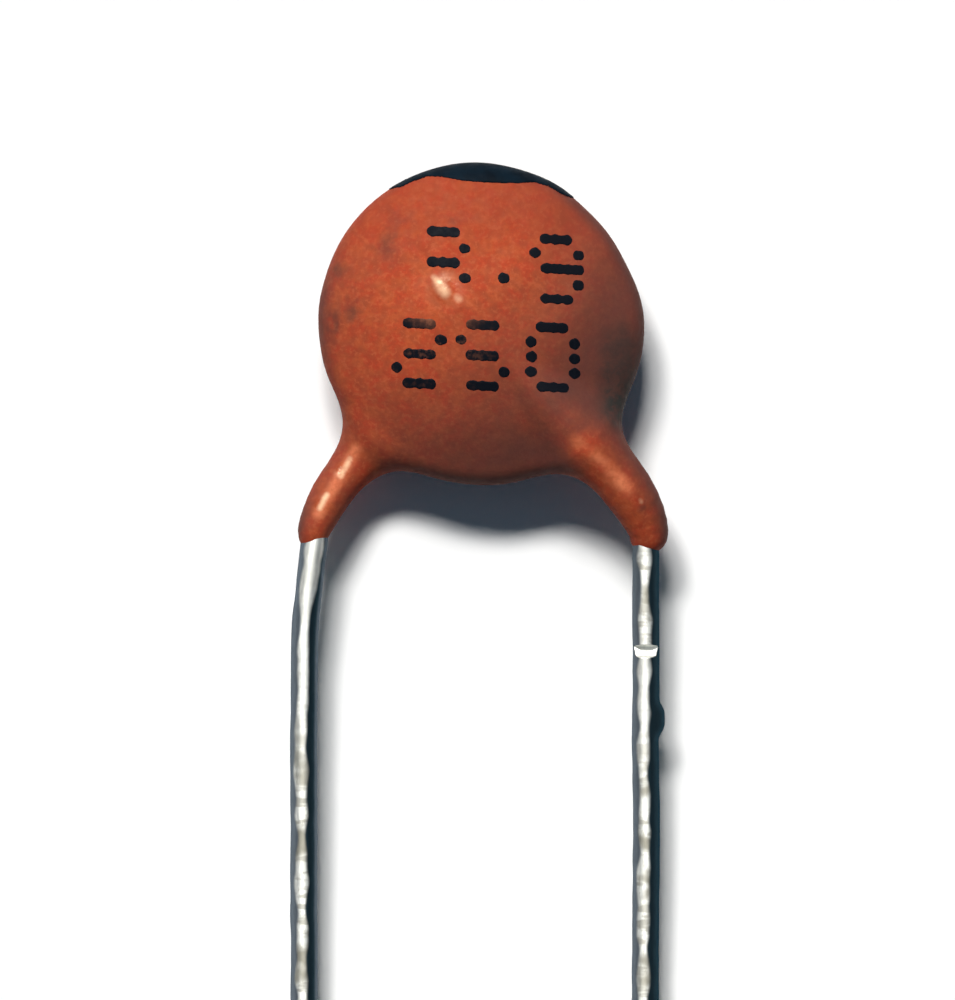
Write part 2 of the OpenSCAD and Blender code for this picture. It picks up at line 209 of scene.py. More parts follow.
def ear_route(corners, cover, end_y, sag):
    """Stops along an ear and its radius there. Its lower part lies a little to one side."""
    leg, knee, seat, end = corners[-4:]
    down, inward = unit(leg - knee), unit(seat - knee)
    reach = bend_reach(leg, knee, seat, KNEE_BEND_R)
    aside = np.array(TO_RIGHT)
    places = [
        (knee + down * (end_y - knee[1]) / down[1] + aside * sag[2], cover[3]),
        (knee + down * reach + aside * sag[1], cover[2]),
        (knee + inward * reach + aside * sag[0], cover[1]),
        (np.array([seat[0], seat[1], seat[2] * ROOT_SINK]), cover[0]),
        (seat + (end - seat) * RIDGE_START, RIDGE_COVER),
        (end, RIDGE_COVER),
    ]
    return rounded_route([np.append(place, LEAD_R + c) for place, c in places])


FRONT_ROUTE = ear_route(FRONT_CORNERS, FRONT_COVER, FRONT_EAR_END_Y, FRONT_SAG)
REAR_ROUTE = ear_route(REAR_CORNERS, REAR_COVER, REAR_EAR_END_Y, REAR_SAG)


def ear_gap(p, route):
    gap = np.full(len(p), np.inf)
    for a, b in zip(route, route[1:]):
        gap = np.minimum(gap, rod_gap(p, a[:3], b[:3], a[3], b[3]))
    return gap


# Slow swells of the dipped skin: a few fixed waves, in radians for each millimetre.
WAVE_SEED = 7
WAVE_COUNT = 14
WAVE_RATES = (2.2, 7.0)
SWELL = 0.0022
waves = np.random.RandomState(WAVE_SEED)
WAVE_TURNS = waves.normal(size=(WAVE_COUNT, 3))
WAVE_TURNS /= np.linalg.norm(WAVE_TURNS, axis=1)[:, None]
WAVE_TURNS *= waves.uniform(*WAVE_RATES, size=(WAVE_COUNT, 1))
WAVE_SHIFTS = waves.uniform(0, 2 * math.pi, WAVE_COUNT)


def swell(p):
    return np.sin(p @ WAVE_TURNS.T + WAVE_SHIFTS).sum(axis=1) * SWELL


# Lumps where the end of the front wire pushes up the skin: picture place, height and spread.
LUMPS = (
    ((437, 284), 0.030, 0.12),
    ((445, 294), 0.040, 0.13),
    ((460, 305), 0.020, 0.10),
)


def lumps(p):
    total = np.zeros(len(p))
    for place, height, spread in LUMPS:
        x, y = from_px(*place)
        far = (p[:, 0] - x) ** 2 + (p[:, 1] - y) ** 2
        total += height * np.exp(-far / spread**2)
    return total * (p[:, 2] > 0)


def coat_gap(p):
    """Distance from the coat: the disc melted into both ears, more softly towards its rim."""
    out = np.clip((np.hypot(p[:, 0], p[:, 1]) - WEB_START) / (BODY_R - WEB_START), 0, 1)
    k = RIDGE_WEB + (WEB - RIDGE_WEB) * out * out
    body = melt(disc_gap(p), ear_gap(p, FRONT_ROUTE), k)
    return melt(body, ear_gap(p, REAR_ROUTE), k) + swell(p) - lumps(p)


# ---- Skins over distances ----

CORNERS = np.array([[i, j, k] for i in (0, 1) for j in (0, 1) for k in (0, 1)])
EDGES = [
    (a, b)
    for a in range(8)
    for b in range(a + 1, 8)
    if np.abs(CORNERS[a] - CORNERS[b]).sum() == 1
]
SLOPE_STEP = 0.002
LEAST_SLOPE = 0.05
SETTLE_ROUNDS = 3


def slope(gap, p):
    cols = []
    for axis in np.eye(3) * SLOPE_STEP:
        cols.append((gap(p + axis) - gap(p - axis)) / (2 * SLOPE_STEP))
    return np.stack(cols, axis=1)


def settled(gap, p):
    """The points moved down the slope onto the surface where the distance is nought."""
    for _ in range(SETTLE_ROUNDS):
        g = slope(gap, p)
        p = p - g * (gap(p) / np.maximum((g * g).sum(axis=1), LEAST_SLOPE))[:, None]
    return p


def crossing_points(value, cells):
    """For each cell, the middle of the places where its edges cross the surface, in steps."""
    held = np.stack([value[tuple((cells + corner).T)] for corner in CORNERS])
    total = np.zeros((len(cells), 3))
    count = np.zeros(len(cells))
    for a, b in EDGES:
        cut = (held[a] < 0) != (held[b] < 0)
        t = held[a][cut] / (held[a][cut] - held[b][cut])
        total[cut] += CORNERS[a] + t[:, None] * (CORNERS[b] - CORNERS[a])
        count[cut] += 1
    return cells + total / count[:, None]


def crossing_faces(inside, number):
    """A face across each grid edge with one end inside, through the four cells round that edge."""
    steps = np.eye(3, dtype=int)
    faces = []
    for axis in range(3):
        u, v = (axis + 1) % 3, (axis + 2) % 3
        one = inside[tuple(slice(0, n - s) for n, s in zip(inside.shape, steps[axis]))]
        two = inside[tuple(slice(s, n) for n, s in zip(inside.shape, steps[axis]))]
        place = np.argwhere(one != two)
        keep = (place[:, u] > 0) & (place[:, v] > 0)
        keep &= (place[:, u] < inside.shape[u] - 1) & (place[:, v] < inside.shape[v] - 1)
        place = place[keep]
        du, dv = steps[u], steps[v]
        ring = [place - du - dv, place - dv, place, place - du]
        quads = np.stack([number[tuple(c.T)] for c in ring], axis=1)
        outward = one[tuple(place.T)]
        faces.append(np.where(outward[:, None], quads, quads[:, ::-1]))
    return np.concatenate(faces)


def skin(gap, low, high, step):
    """Points and four-sided faces of the surface where the distance is nought."""
    low = np.asarray(low, float)
    counts = np.ceil((np.asarray(high) - low) / step).astype(int) + 1
    axes = [low[i] + step * np.arange(counts[i]) for i in range(3)]
    places = np.stack(np.meshgrid(*axes, indexing="ij"), axis=-1)
    value = gap(places.reshape(-1, 3)).reshape(counts)
    inside = value < 0
    cells = tuple(counts - 1)
    near = np.stack(
        [inside[i : i + cells[0], j : j + cells[1], k : k + cells[2]] for i, j, k in CORNERS]
    )
    crossed = near.any(axis=0) & ~near.all(axis=0)
    at = np.argwhere(crossed)
    number = np.full(cells, -1)
    number[crossed] = np.arange(len(at))
    points = low + step * crossing_points(value, at)
    return settled(gap, points), crossing_faces(inside, number)


def place_in_scene(name, data):
    thing = bpy.data.objects.new(name, data)
    bpy.context.scene.collection.objects.link(thing)
    return thing


def add_mesh(name, points, faces):
    """A smooth piece from points in millimetres round the middle of the disc."""
    mesh = bpy.data.meshes.new(name)
    placed = (np.asarray(points) + LAY_DOWN) * MM
    mesh.from_pydata(placed.tolist(), [], [list(map(int, f)) for f in faces])
    mesh.polygons.foreach_set("use_smooth", [True] * len(mesh.polygons))
    mesh.update()
    piece = place_in_scene(name, mesh)
    return piece


# ---- Node trees ----


class Tree:
    """Shorthands for building a node tree. A value is a number, a colour or a node's output."""

    def __init__(self, tree):
        self.tree = tree

    def add(self, kind, inputs=None, **settings):
        node = self.tree.nodes.new(kind)
        for key, value in settings.items():
            setattr(node, key, value)
        for key, value in (inputs or {}).items():
            self.feed(node.inputs[key], value)
        return node

    def feed(self, socket, value):
        if isinstance(value, bpy.types.NodeSocket):
            self.tree.links.new(value, socket)
        else:
            socket.default_value = value

    def math(self, operation, *values, clamp=False):
        inputs = dict(enumerate(values))
        return self.add("ShaderNodeMath", inputs, operation=operation, use_clamp=clamp).outputs[0]

    def times(self, first, *others):
        for other in others:
            first = self.math("MULTIPLY", first, other)
        return first

    def plus(self, a, b):
        return self.math("ADD", a, b)

    def minus(self, a, b):
        return self.math("SUBTRACT", a, b)

    def rest(self, share):
        """What a share leaves of 1."""
        return self.math("SUBTRACT", 1.0, share, clamp=True)

    def fade(self, value, start, end, first=0.0, last=1.0, kind="SMOOTHSTEP"):
        """A number that goes from first to last while the value goes from start to end."""
        spans = {"From Min": start, "From Max": end, "To Min": first, "To Max": last}
        inputs = {"Value": value, **spans}
        return self.add("ShaderNodeMapRange", inputs, interpolation_type=kind).outputs["Result"]

    def mix(self, factor, a, b):
        """Colour a where the factor is 0, and colour b where it is 1."""
        # The colours' sockets are inputs 6 and 7 and output 2.
        return self.add("ShaderNodeMix", {0: factor, 6: a, 7: b}, data_type="RGBA").outputs[2]


class Material(Tree):
    """A material's node tree, with places in millimetres round the middle of the disc."""

    def __init__(self, name):
        self.material = bpy.data.materials.new(name)
        self.material.use_nodes = True
        super().__init__(self.material.node_tree)
        self.shader = self.tree.nodes["Principled BSDF"]
        coordinates = self.add("ShaderNodeTexCoord")
        self.facing = coordinates.outputs["Normal"]
        in_mm = self.vector("MULTIPLY", coordinates.outputs["Object"], (1 / MM,) * 3)
        self.place = self.vector("SUBTRACT", in_mm, tuple(LAY_DOWN))

    def vector(self, operation, *values, output="Vector"):
        inputs = dict(enumerate(values))
        return self.add("ShaderNodeVectorMath", inputs, operation=operation).outputs[output]

    def measure(self, operation, *vectors):
        """A number worked out from vectors."""
        return self.vector(operation, *vectors, output="Value")

    def along(self, direction, vector=None):
        """How far the place, or another vector, lies in a direction."""
        return self.measure("DOT_PRODUCT", vector or self.place, direction)

    def from_axis(self):
        """Distance from the vertical line through the middle of the disc."""
        return self.measure("LENGTH", self.vector("MULTIPLY", self.place, (1, 1, 0)))

    def noise(self, scale, detail=2.0, rough=0.5, stretch=(1, 1, 1)):
        place = self.vector("MULTIPLY", self.place, stretch)
        inputs = {"Vector": place, "Scale": scale, "Detail": detail, "Roughness": rough}
        return self.add("ShaderNodeTexNoise", inputs).outputs["Fac"]

    def warped(self, scale, detail, much):
        """The place, pushed about by noise."""
        inputs = {"Vector": self.place, "Scale": scale, "Detail": detail}
        push = self.add("ShaderNodeTexNoise", inputs).outputs["Color"]
        push = self.vector("SUBTRACT", push, (0.5, 0.5, 0.5))
        return self.vector("MULTIPLY_ADD", push, (much,) * 3, self.place)

    def spot(self, centre, radii, soft, place=None):
        """1 at a place, falling to 0 at the radii, in millimetres."""
        away = self.vector("SUBTRACT", place or self.place, centre)
        length = self.measure("LENGTH", self.vector("DIVIDE", away, radii))
        return self.fade(length, 1 - soft, 1.0, 1.0, 0.0)

    def stripe(self, start_px, end_px, width, soft):
        """1 along a line in the picture, falling to 0 at the width, in millimetres."""
        start, end = from_px(*start_px), from_px(*end_px)
        ux, uy = unit(np.subtract(end, start))
        half = float(np.linalg.norm(np.subtract(end, start))) / 2
        cx, cy = np.add(start, end) / 2
        run = self.minus(self.along((ux, uy, 0)), float(cx * ux + cy * uy))
        past = self.math("MAXIMUM", self.minus(self.math("ABSOLUTE", run), half), 0.0)
        side = self.minus(self.along((-uy, ux, 0)), float(cy * ux - cx * uy))
        squares = self.plus(self.math("POWER", past, 2), self.math("POWER", side, 2))
        return self.fade(self.math("SQRT", squares), width * (1 - soft), width, 1.0, 0.0)

    def bump(self, height, strength, depth, under=None):
        inputs = {"Height": height, "Strength": strength, "Distance": depth * MM}
        if under is not None:
            inputs["Normal"] = under
        return self.add("ShaderNodeBump", inputs).outputs["Normal"]

    def done(self, colour, roughness, normal, **constants):
        """The material, with its three textures, and with constants on the shader's own sockets."""
        for name, value in (("Base Color", colour), ("Roughness", roughness), ("Normal", normal)):
            self.feed(self.shader.inputs[name], value)
        for name, value in constants.items():
            self.feed(self.shader.inputs[name.replace("_", " ")], value)
        return self.material


def srgb(r, g, b):
    """A colour given as it shows on screen, 0 to 255."""
    out = []
    for c in (r, g, b):
        c /= 255
        out.append(c / 12.92 if c <= 0.04045 else ((c + 0.055) / 1.055) ** 2.4)
    return (*out, 1.0)


# In the materials below, a noise has waves for each millimetre, detail, roughness and, in some, its
# stretch along each axis. A fade has its start, its end and the values there. A bump has its
# strength, and its depth in millimetres. Most of a noise lies between these two values:
MIDDLE = (0.3, 0.7)

# ---- The coat's material ----

# Shades of the coat, as the key light shows them. Some are painted light: painted shade and painted
# highlights.
COAT_RED = srgb(180, 62, 33)
COAT_ORANGE = srgb(182, 79, 41)
COAT_GRAIN = srgb(150, 62, 36)
COAT_FLECK = srgb(206, 98, 58)
# Painted shade: the brown that darkens the disc's lower right, its rim and the ears' flanks.
COAT_PAINTED_SHADE = srgb(84, 50, 46)
COAT_CROWN = srgb(156, 50, 22)
# Painted highlight colours: a pale sheen and a cream glint.
COAT_PAINTED_SHEEN = srgb(238, 136, 92)
COAT_PAINTED_GLINT = srgb(255, 214, 172)
# The deepest painted shade, on the outer flank of the right ear.
COAT_SHADE = srgb(58, 36, 34)
# Soil, which is also the painted shade on the disc's right side.
SOIL_AND_SHADE = srgb(44, 43, 43)
COAT_GLOSS = {"Specular_IOR_Level": 0.3, "Specular_Tint": (1.0, 0.86, 0.62, 1.0)}

BLOTCH_NOISE = (3.4, 3.0, 0.55)
BLOTCH_FADE = (0.35, 0.65)
GRAIN_NOISE = (6.5, 3.0, 0.55)
GRAIN_FADE = (0.42, 0.66, 0.0, 0.62)
FLECK_NOISE = (13.0, 2.0, 0.5)
FLECK_FADE = (0.5, 0.68, 0.0, 0.4)
DARK_FLECK_FADE = (0.32, 0.5, 0.4, 0.0)


def resin(m, grain):
    """Red and orange blotches under a grain, with pale and dark flecks."""
    flecks = m.noise(*FLECK_NOISE)
    colour = m.mix(m.fade(m.noise(*BLOTCH_NOISE), *BLOTCH_FADE), COAT_RED, COAT_ORANGE)
    for noise, fade, shade in (
        (grain, GRAIN_FADE, COAT_GRAIN),
        (flecks, FLECK_FADE, COAT_FLECK),
        (flecks, DARK_FLECK_FADE, COAT_GRAIN),
    ):
        colour = m.mix(m.fade(noise, *fade), colour, shade)
    return colour


# Painted shade, as a brown: its share at the middle of the disc, its rise for each millimetre, a
# further rise at the right, the most of it, and where it ends past the disc.
BROWN_MIDDLE = 0.16
BROWN_RISE = (0.19, -0.24, 0.0)
BROWN_SIDE = (1.0, 0.1, 0.0)
BROWN_SIDE_FADE = (0.7, 2.6, 0.0, 0.26)
BROWN_MOST = 0.84
BROWN_END_FADE = (BODY_R - 0.45, BODY_R + 0.65, 1.0, 0.0)
# Where the front ear grows out of the disc the painted shade is weaker: ends, half width, strength.
BRIGHT_ROOT = (
    ((586, 454), (604, 468), 0.54, 1.0),
    ((532, 420), (574, 450), 0.50, 0.42),
    ((572, 412), (596, 434), 0.45, 0.24),
)
CROWN_FADE = (0.6, 2.4, 0.0, 0.5)


def painted_brown_shade(m, colour):
    """Painted shade: the disc's resin is browner at the bottom and the right. Its crown is a deeper
    red.
    """
    brown = m.plus(m.along(BROWN_RISE), BROWN_MIDDLE)
    brown = m.plus(brown, m.fade(m.along(BROWN_SIDE), *BROWN_SIDE_FADE))
    brown = m.math("MINIMUM", m.math("MAXIMUM", brown, 0.0), BROWN_MOST)
    for start, end, width, most in BRIGHT_ROOT:
        brown = m.times(brown, m.rest(m.times(m.stripe(start, end, width, 1.0), most)))
    brown = m.times(brown, m.fade(m.from_axis(), *BROWN_END_FADE))
    colour = m.mix(brown, colour, COAT_PAINTED_SHADE)
    return m.mix(m.fade(m.along(TO_TIP), *CROWN_FADE), colour, COAT_CROWN)


# Painted shade where the resin leans away from the front, and how much less of it at the crown.
LEAN_FADE = (0.25, 0.85, 0.0, 0.8, "LINEAR")
CROWN_SIDE = (-0.4, 1.0, 0.0)
CROWN_LEAN_FADE = (1.5, 2.8, 1.0, 0.3)
# The painted shade is also weaker at the waist above the left ear:
# by place, by facing left, and by height.
WAIST_SIDE = (1.0, 0.9, 0.0)
WAIST_FADE = (-4.0, -3.0, 0.6, 0.0)
WAIST_FACING_FADE = (-0.4, 0.1, 1.0, 0.0)
WAIST_HEIGHT_FADE = (-3.6, -3.1)
# The ears start past the disc's edge and below its middle.
# They get more painted shade uphill than downhill.
EAR_FADE = (BODY_R - 0.1, BODY_R + 0.6)
EAR_HEIGHT_FADE = (-2.3, -2.0, 1.0, 0.0)
DOWNHILL_FADE = (-0.6, 0.0, 1.0, 0.0, "LINEAR")
EAR_BROWN = 0.25
# The outer flank of the right ear gets the deepest painted shade:
# by facing right, by place, and by height.
OUTER_FACING_FADE = (0.2, 0.8, 0.0, 0.55)
OUTER_FADE = (2.0, 2.6)
OUTER_HEIGHT_FADE = (-4.2, -3.2, 1.0, 0.0)


def painted_flank_shade(m, colour):
    """Painted shade round the rim and down the ears' flanks, where the resin leans from the front.
    """
    right, height = m.along(TO_RIGHT), m.along(TO_TIP)
    facing_right, facing_tip = m.along(TO_RIGHT, m.facing), m.along(TO_TIP, m.facing)
    facing_front = m.along(TO_FRONT, m.facing)
    lean = m.math("SQRT", m.rest(m.times(facing_front, facing_front)))
    waist = m.times(
        m.fade(m.along(WAIST_SIDE), *WAIST_FADE),
        m.fade(facing_right, *WAIST_FACING_FADE),
        m.fade(height, *WAIST_HEIGHT_FADE),
    )
    crown = m.fade(m.along(CROWN_SIDE), *CROWN_LEAN_FADE)
    flank = m.times(m.fade(lean, *LEAN_FADE), crown, m.rest(waist))
    on_ear = m.times(m.fade(m.from_axis(), *EAR_FADE), m.fade(height, *EAR_HEIGHT_FADE))
    upper = m.rest(m.times(on_ear, m.fade(facing_tip, *DOWNHILL_FADE)))
    outer = m.times(
        m.fade(facing_right, *OUTER_FACING_FADE),
        m.fade(right, *OUTER_FADE),
        m.fade(height, *OUTER_HEIGHT_FADE),
    )
    colour = m.mix(m.times(on_ear, upper, EAR_BROWN), colour, COAT_PAINTED_SHADE)
    colour = m.mix(m.times(flank, upper), colour, COAT_PAINTED_SHADE)
    return m.mix(outer, colour, COAT_SHADE)


# Soiled places on the front: picture place, radii in millimetres and strength. The first, at the
# right rim, is partly painted shade, like the soot line below it.
SMUDGES = (
    ((628, 345), (0.30, 0.80), 0.3),
    ((645, 507), (0.10, 0.26), 0.5),
    ((398, 217), (0.42, 0.30), 0.25),
    ((389, 248), (0.28, 0.60), 0.42),
    ((353, 309), (0.34, 0.34), 0.55),
    ((343, 272), (0.22, 0.34), 0.42),
    ((334, 322), (0.18, 0.60), 0.5),
    ((452, 226), (0.20, 0.16), 0.25),
)
SMUDGE_Z = 0.5
SMUDGE_DEPTH = 1.4
SMUDGE_SOFT = 0.9
SMUDGE_WARP = (2.4, 3.0, 0.5)
SMUDGE_NOISE = (2.6, 4.0, 0.6)
SMUDGE_FADE = (0.3, 0.62, 0.45, 1.0)
# Soot lies along a line in the hollow beside the right ear, and with it painted shade of the disc's
# right side. It is thinner at its upper end.
SOOT_AND_SHADE = ((619, 348), (621, 408))
SOOT_AND_SHADE_WIDTH = 0.58
SOOT_AND_SHADE_SOFT = 0.75
SOOT_AND_SHADE_HEIGHT_FADE = (-1.5, -0.3, 1.0, 0.6)
SOOT_AND_SHADE_NOISE = (5.0, 4.0, 0.65)
SOOT_AND_SHADE_FADE = (0.35, 0.62, 0.66, 1.0)


def soiled_and_shaded(m, colour):
    """Smudges with loose edges, and the soot with its painted shade."""
    loose = m.warped(*SMUDGE_WARP)
    patchy = m.fade(m.noise(*SMUDGE_NOISE), *SMUDGE_FADE)
    for place, radii, most in SMUDGES:
        spot = m.spot((*from_px(*place), SMUDGE_Z), (*radii, SMUDGE_DEPTH), SMUDGE_SOFT, loose)
        colour = m.mix(m.times(spot, patchy, most), colour, SOIL_AND_SHADE)
    soot_and_shade = m.times(
        m.stripe(*SOOT_AND_SHADE, SOOT_AND_SHADE_WIDTH, SOOT_AND_SHADE_SOFT),
        m.fade(m.along(TO_TIP), *SOOT_AND_SHADE_HEIGHT_FADE),
        m.fade(m.noise(*SOOT_AND_SHADE_NOISE), *SOOT_AND_SHADE_FADE),
    )
    return m.mix(soot_and_shade, colour, SOIL_AND_SHADE)


# Painted highlights: both ends in the picture, half width, strength and colour. They run over the
# wires under the ears, and over the end of the front wire, where the key light is caught.
PAINTED_HIGHLIGHT_LINES = (
    ((577, 442), (581, 446), 0.20, 0.22, COAT_PAINTED_SHEEN),
    ((592, 453), (614, 473), 0.20, 0.30, COAT_PAINTED_SHEEN),
    ((598, 458), (602, 463), 0.14, 0.24, COAT_PAINTED_SHEEN),
    ((612, 476), (626, 490), 0.26, 0.28, COAT_PAINTED_SHEEN),
    ((621, 481), (625, 485), 0.20, 0.66, COAT_PAINTED_SHEEN),
    ((640, 500), (641, 502), 0.06, 0.18, COAT_PAINTED_GLINT),
    ((356, 449), (319, 514), 0.18, 0.52, COAT_PAINTED_SHEEN),
    ((350, 459), (341, 476), 0.085, 0.58, COAT_PAINTED_GLINT),
    ((327, 495), (320, 508), 0.085, 0.62, COAT_PAINTED_GLINT),
    ((439, 285), (445, 293), 0.17, 0.62, COAT_PAINTED_GLINT),
    ((434, 278), (442, 288), 0.09, 0.40, COAT_PAINTED_GLINT),
    ((457, 298), (459, 300), 0.11, 0.30, COAT_PAINTED_GLINT),
    ((430, 285), (455, 300), 0.50, 0.16, COAT_PAINTED_SHEEN),
)
PALE_FRONT_FADE = (0.5, 0.8)
PALE_GRAIN_FADE = (0.35, 0.6, 0.7, 1.2)


def painted_highlights(m, colour, grain):
    """The painted highlights, on what faces the front, broken up by the grain."""
    front = m.fade(m.along(TO_FRONT, m.facing), *PALE_FRONT_FADE)
    grainy = m.fade(grain, *PALE_GRAIN_FADE)
    for start, end, width, most, shade in PAINTED_HIGHLIGHT_LINES:
        line = m.times(m.stripe(start, end, width, 1.0), most, grainy, front)
        colour = m.mix(line, colour, shade)
    return colour


COAT_ROUGH_NOISE = (6.0, 3.0, 0.6)
COAT_ROUGH_FADE = (*MIDDLE, 0.66, 0.78)
# Polished places that catch the light: picture place, height, radius and roughness lost.
POLISHED = (
    ((446, 290), 0.95, 0.44, 0.46),
    ((343, 469), 0.3, 0.30, 0.52),
    ((321, 505), 0.2, 0.26, 0.52),
)
POLISH_DEPTH = 0.9
POLISH_SOFT = 0.7
PEEL_NOISE = (5.0, 2.0, 0.5)
PEEL_BUMP = (0.5, 0.02)
PORE_NOISE = (26.0, 3.0, 0.6)
PORE_BUMP = (0.4, 0.006)


def coat_material():
    m = Material("coat_phenolic")
    grain = m.noise(*GRAIN_NOISE)
    colour = painted_brown_shade(m, resin(m, grain))
    colour = soiled_and_shaded(m, painted_flank_shade(m, colour))
    colour = painted_highlights(m, colour, grain)
    rough = m.fade(m.noise(*COAT_ROUGH_NOISE), *COAT_ROUGH_FADE)
    for place, height, reach, much in POLISHED:
        shiny = m.spot((*from_px(*place), height), (reach, reach, POLISH_DEPTH), POLISH_SOFT)
        rough = m.minus(rough, m.times(shiny, much))
    peel = m.bump(m.noise(*PEEL_NOISE), *PEEL_BUMP)
    return m.done(colour, rough, m.bump(m.noise(*PORE_NOISE), *PORE_BUMP, peel), **COAT_GLOSS)


# ---- The other materials ----


def blended_material(name, shades, tone, rough, bump, **constants):
    """Two shades blended by a noise. Roughness and bump each have a noise and its values."""
    m = Material(name)
    colour = m.mix(m.fade(m.noise(*tone), *MIDDLE), *shades)
    roughness = m.fade(m.noise(*rough[0]), *MIDDLE, *rough[1])
    return m.done(colour, roughness, m.bump(m.noise(*bump[0]), *bump[1]), **constants)


PAINT = {
    "shades": (srgb(6, 16, 25), srgb(10, 26, 37)),
    "tone": (3.0, 3.0, 0.5),
    "rough": ((8.0,), (0.5, 0.62)),
    "bump": ((7.0, 2.0, 0.5), (0.5, 0.015)),
    "Specular_IOR_Level": 0.04,
}


def paint_material():
    return blended_material("black_tip_paint", **PAINT)


INK = srgb(8, 13, 22)
INK_WORN_SHADE = srgb(136, 84, 62)
WEAR_NOISE = (9.0, 3.0, 0.6)
# Where the ink is rubbed off and where it is thin: picture place, radii, and the wear's fade there.
WORN_PLACES = (
    ((446, 312), (0.9, 0.5, 2.0), (0.3, 0.7, 0.4, 0.9)),
    ((440, 350), (1.4, 1.0, 2.0), (0.45, 0.75, 0.0, 0.4)),
)
WORN_Z = 0.9
WORN_SOFT = 0.8
INK_ROUGH_FADE = (*MIDDLE, 0.55, 0.7)
INK_NOISE = (20.0,)
INK_BUMP = (0.4, 0.005)
INK_GLOSS = {"Specular_IOR_Level": 0.08}


def ink_material():
    m = Material("print_ink")
    wear = m.noise(*WEAR_NOISE)
    worn = 0.0
    for place, radii, fade in WORN_PLACES:
        spot = m.spot((*from_px(*place), WORN_Z), radii, WORN_SOFT)
        worn = m.math("ADD", worn, m.times(spot, m.fade(wear, *fade)), clamp=True)
    colour = m.mix(worn, INK, INK_WORN_SHADE)
    normal = m.bump(m.noise(*INK_NOISE), *INK_BUMP)
    return m.done(colour, m.fade(wear, *INK_ROUGH_FADE), normal, **INK_GLOSS)


# Shades of the tinned wires: bright along the top, with painted reflections dull on the left flank
# and nearly black on the right one, and worn in patches and underneath.
TIN_BRIGHT = (1.0, 1.0, 0.94, 1.0)
TIN_WORN = (0.42, 0.4, 0.33, 1.0)
TIN_PAINTED_DULL = (0.18, 0.21, 0.24, 1.0)
TIN_PAINTED_DARK = (0.028, 0.054, 0.07, 1.0)
TIN_GLOSS = {"Metallic": 1.0, "Anisotropic": 0.4, "Specular_Tint": (0.35, 0.4, 0.45, 1.0)}
# Both edges of the bright band, by how far the tin faces right. The band's width wavers and the
# band drifts sideways. It lies further left towards the ends of the legs.
BAND_LEFT_FADE = (-0.6, -0.38, 1.0, 0.0)
BAND_RIGHT_FADE = (0.2, 0.44)
WAVER_NOISE = (1.5, 1.0, 0.5, (0.2, 1.0, 0.2))
WAVER_FADE = (*MIDDLE, -0.14, 0.14, "LINEAR")
DRIFT_NOISE = (1.1, 1.0, 0.5, (0.3, 1.0, 0.3))
DRIFT_FADE = (*MIDDLE, -0.07, 0.07, "LINEAR")
END_DRIFT_FADE = (-8.5, -5.5, 0.08, 0.0)
# The band is wider where the rear leg comes out of its ear, more so at its right edge.
REAR_LEG_FADE = (-1.0, 1.0, 1.0, 0.0)
WIDER_FADE = (-5.3, -4.4)
WIDER_LEFT = 0.12
WIDER_RIGHT = 0.38


def painted_flank_reflections(m, across, on_rear):
    """How much painted dull reflection the tin gets left of its bright band, and painted dark at
    the right.
    """
    waver = m.fade(m.noise(*WAVER_NOISE), *WAVER_FADE)
    drift = m.fade(m.noise(*DRIFT_NOISE), *DRIFT_FADE)
    drift = m.plus(drift, m.fade(m.along(TO_TIP), *END_DRIFT_FADE))
    slid = m.plus(across, drift)
    wider = m.times(m.fade(m.along(TO_TIP), *WIDER_FADE), on_rear)
    left = m.minus(slid, m.minus(waver, m.times(wider, WIDER_LEFT)))
    right = m.minus(m.plus(slid, waver), m.times(wider, WIDER_RIGHT))
    return m.fade(left, *BAND_LEFT_FADE), m.fade(right, *BAND_RIGHT_FADE)


DRAWN_NOISE = (1.7, 2.0, 0.5, (0.6, 1.0, 0.6))
DRAWN_FADE = (0.46, 0.62)
MOTTLE_NOISE = (5.0, 2.0, 0.6, (0.3, 1.0, 0.3))
MOTTLE_FADE = (0.48, 0.62, 0.0, 0.7)
# The tin is patchier towards the ends of the legs, and at one place below the front ear.
PATCHY_FADE = (-9.0, -6.5, 1.0, 0.25)
PATCHY_PLACE = ((3.0, -5.1, 0.0), (1.0, 1.1, 2.0), 0.4)
FROST_NOISE = (13.0, 3.0, 0.6, (1.4, 0.5, 1.4))
FROST_FADE = (0.5, 0.75, 0.0, 0.5)
# The rear leg gets the painted dull reflection again along its right edge. Both are worn
# underneath.
EDGE_FADE = (0.7, 0.95, 0.0, 0.9)
BELOW_FADE = (-0.4, -0.05, 0.85, 0.0)
TIN_ROUGH_FADE = (*MIDDLE, 0.52, 0.62)
TIN_BUMP = (0.35, 0.01)


